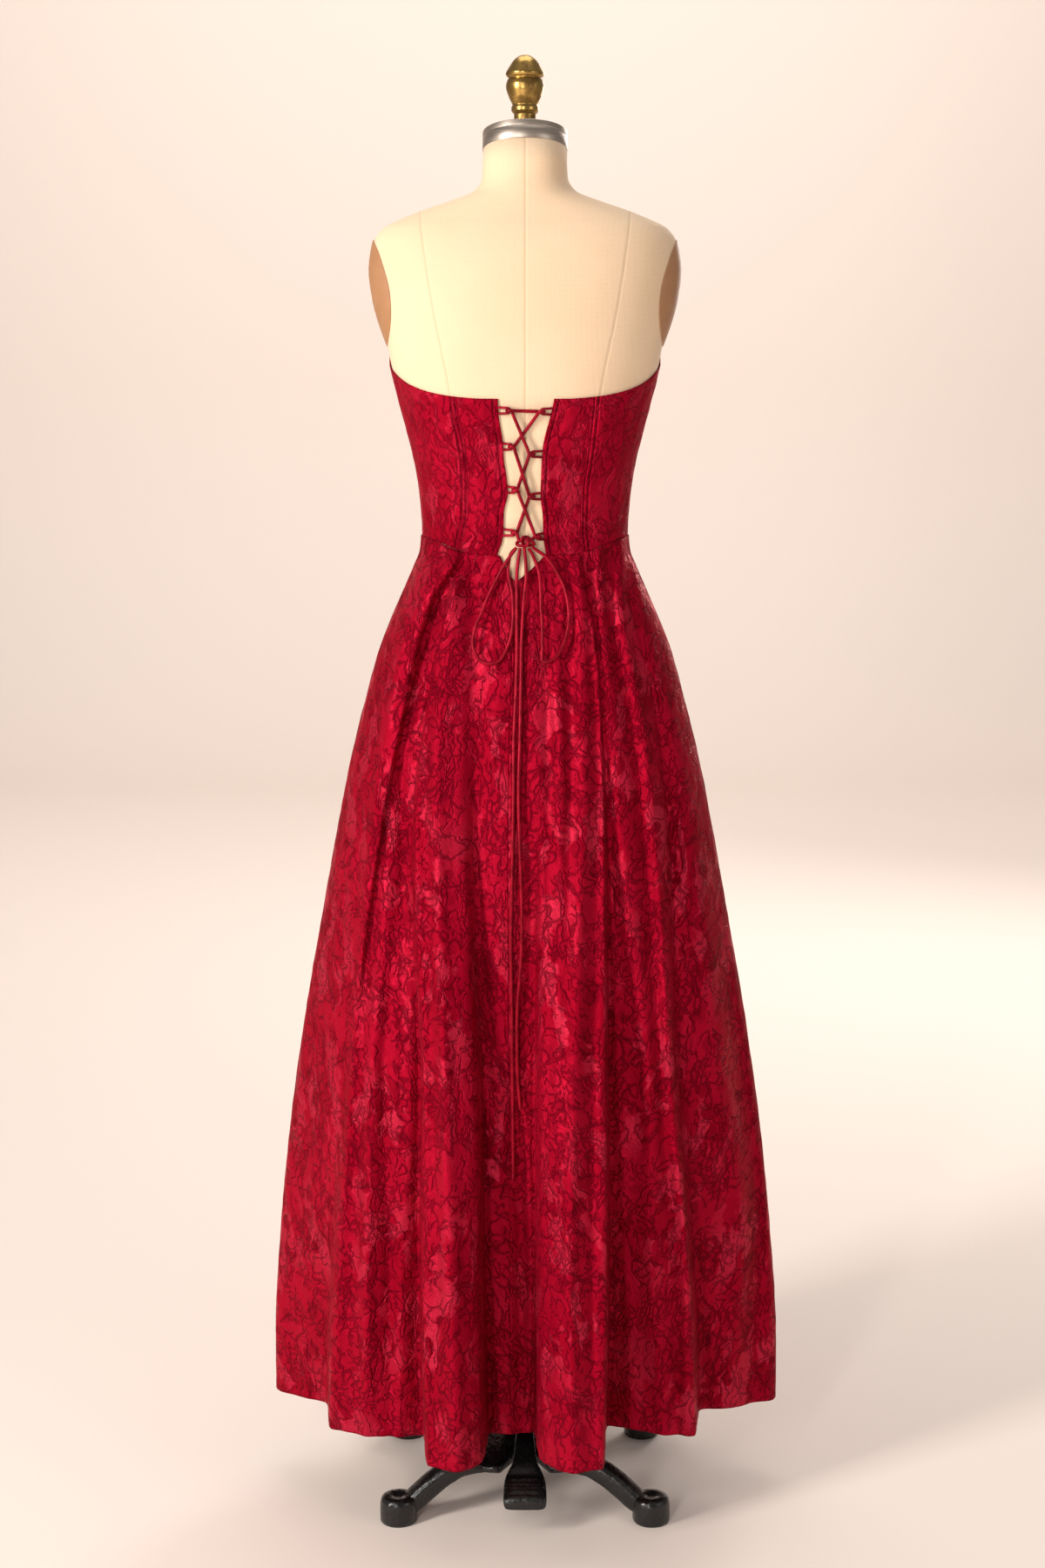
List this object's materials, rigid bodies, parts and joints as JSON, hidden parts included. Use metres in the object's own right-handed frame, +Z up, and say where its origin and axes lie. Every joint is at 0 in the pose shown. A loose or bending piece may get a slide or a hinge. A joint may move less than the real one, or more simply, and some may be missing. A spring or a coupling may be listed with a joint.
{
  "type": "corset dress on dress form",
  "caption": "Strapless floor-length corset dress with a laced open back and pleated A-line skirt, standing on a limbless dress form with a cast iron pedal base.",
  "frame": {"origin": "on the floor, centred under the dress and its stand", "axes": "+Z up; -Y towards the laced centre back of the dress, +Y towards its front; +X towards the wearer's right"},
  "size_m": [0.6418, 0.4498, 1.7664],
  "materials": {
    "crimson_jacquard": "satin-ground jacquard with crinkled floral outlines",
    "crimson_satin_cord": "satin rouleau cord",
    "cream_linen": "matt cream linen over a firm shell",
    "tan_cover": "smooth tan cover plate",
    "brushed_steel": "brushed steel",
    "antique_brass": "aged brass",
    "black_enamelled_iron": "gloss black enamel"
  },
  "bodies": {
    "stand": {"stand_casting": "black_enamelled_iron", "stand_column": "black_enamelled_iron"},
    "pedal": {"pedal": "black_enamelled_iron"},
    "form": {"form_torso": "cream_linen", "arm_plate_left": "tan_cover", "arm_plate_right": "tan_cover", "neck_band": "brushed_steel", "neck_finial": "antique_brass", "post": "brushed_steel", "bodice_back_left": "crimson_jacquard", "bodice_side_back_left": "crimson_jacquard", "bodice_side_front_left": "crimson_jacquard", "bodice_front_left": "crimson_jacquard", "bodice_back_right": "crimson_jacquard", "bodice_side_back_right": "crimson_jacquard", "bodice_side_front_right": "crimson_jacquard", "bodice_front_right": "crimson_jacquard", "skirt_back_left": "crimson_jacquard", "skirt_back_right": "crimson_jacquard", "skirt_front_left": "crimson_jacquard", "skirt_front_right": "crimson_jacquard", "loop_left_1": "crimson_satin_cord", "loop_left_2": "crimson_satin_cord", "loop_left_3": "crimson_satin_cord", "loop_left_4": "crimson_satin_cord", "loop_right_1": "crimson_satin_cord", "loop_right_2": "crimson_satin_cord", "loop_right_3": "crimson_satin_cord", "loop_right_4": "crimson_satin_cord", "lace": "crimson_satin_cord", "lace_knot": "crimson_satin_cord", "bow_left": "crimson_satin_cord", "bow_right": "crimson_satin_cord", "tail_left": "crimson_satin_cord", "tail_right": "crimson_satin_cord"}
  },
  "joints": [
    {"name": "height_slide", "type": "slide", "parent": "stand", "child": "form", "axis": [0, 0, 1], "range_m": [0, 0.12]},
    {"name": "pedal_press", "type": "hinge", "parent": "stand", "child": "pedal", "pos_m": [0, -0.0345, 0.0755], "axis": [1, 0, 0], "range_deg": [0, 8], "stiffness_Nm_per_rad": 6, "springref_deg": -6.88}
  ]
}
